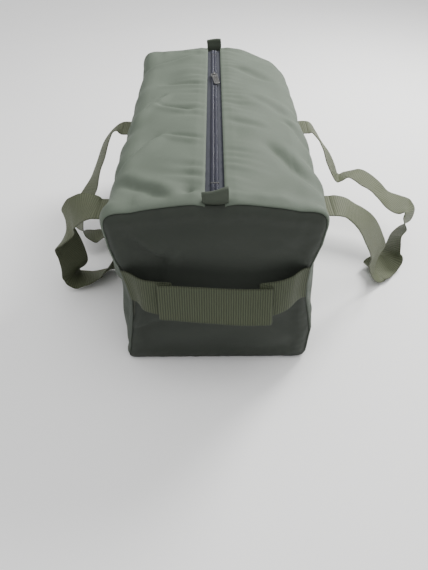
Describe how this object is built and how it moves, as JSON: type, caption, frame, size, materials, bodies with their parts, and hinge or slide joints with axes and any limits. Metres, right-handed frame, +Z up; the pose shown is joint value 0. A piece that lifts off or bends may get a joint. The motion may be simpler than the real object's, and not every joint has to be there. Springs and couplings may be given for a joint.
{
  "type": "garden tool bag",
  "caption": "Long soft tool bag with a zipped top, two webbing carry handles spread at its sides and a pleated webbing grip across each end.",
  "frame": {"origin": "centre of the base, on the ground", "axes": "+Z up, +Y along the bag towards its rear end, +X to the right when the near end panel is looked at from the front"},
  "size_m": [0.6217, 0.5676, 0.29],
  "materials": {
    "shell_fabric": "pale grey-green coated plain weave",
    "end_fabric": "dark grey-green coated plain weave",
    "binding": "woven seam binding",
    "board": "stiffener sheet",
    "zip_tape": "navy-grey herringbone tape",
    "zip_coil": "nylon coil",
    "zip_metal": "dark plated metal",
    "tab_fabric": "folded cloth",
    "webbing": "olive ribbed webbing"
  },
  "bodies": {
    "bag": {"base_panel": "shell_fabric", "panel_left": "shell_fabric", "panel_right": "shell_fabric", "end_panel_front": "end_fabric", "end_panel_rear": "end_fabric", "seam_binding_front": "binding", "seam_binding_rear": "binding", "base_board": "board", "zip_tape_left": "zip_tape", "zip_tape_right": "zip_tape", "zip_coil_left": "zip_coil", "zip_coil_right": "zip_coil", "zip_stop_front": "zip_metal", "zip_stop_rear": "zip_metal", "zip_tab_front": "tab_fabric", "zip_tab_rear": "tab_fabric", "side_strap_left_front": "webbing", "side_strap_left_rear": "webbing", "side_strap_right_front": "webbing", "side_strap_right_rear": "webbing", "end_strap_front_left": "webbing", "end_strap_front_right": "webbing", "end_strap_rear_left": "webbing", "end_strap_rear_right": "webbing"},
    "slider": {"zip_slider": "zip_metal"},
    "pull": {"zip_pull": "zip_metal"},
    "left_handle": {"carry_handle_left": "webbing"},
    "right_handle": {"carry_handle_right": "webbing"},
    "front_grip": {"end_handle_front": "webbing"},
    "rear_grip": {"end_handle_rear": "webbing"}
  },
  "joints": [
    {"name": "zip_slide", "type": "slide", "parent": "bag", "child": "slider", "axis": [0, 1, 0], "range_m": [-0.319, 0.095]},
    {"name": "pull_swing", "type": "hinge", "parent": "slider", "child": "pull", "pos_m": [0, 0.112, 0.2755], "axis": [-1, 0, 0], "range_deg": [0, 170]},
    {"name": "left_handle_swing", "type": "hinge", "parent": "bag", "child": "left_handle", "pos_m": [-0.158, 0, 0.175], "axis": [0, 1, 0], "range_deg": [0, 115]},
    {"name": "right_handle_swing", "type": "hinge", "parent": "bag", "child": "right_handle", "pos_m": [0.158, 0, 0.175], "axis": [0, -1, 0], "range_deg": [0, 130]},
    {"name": "front_grip_lift", "type": "hinge", "parent": "bag", "child": "front_grip", "pos_m": [0, -0.269, 0.15], "axis": [-1, 0, 0], "range_deg": [0, 28]},
    {"name": "rear_grip_lift", "type": "hinge", "parent": "bag", "child": "rear_grip", "pos_m": [0, 0.269, 0.15], "axis": [1, 0, 0], "range_deg": [0, 28]}
  ]
}
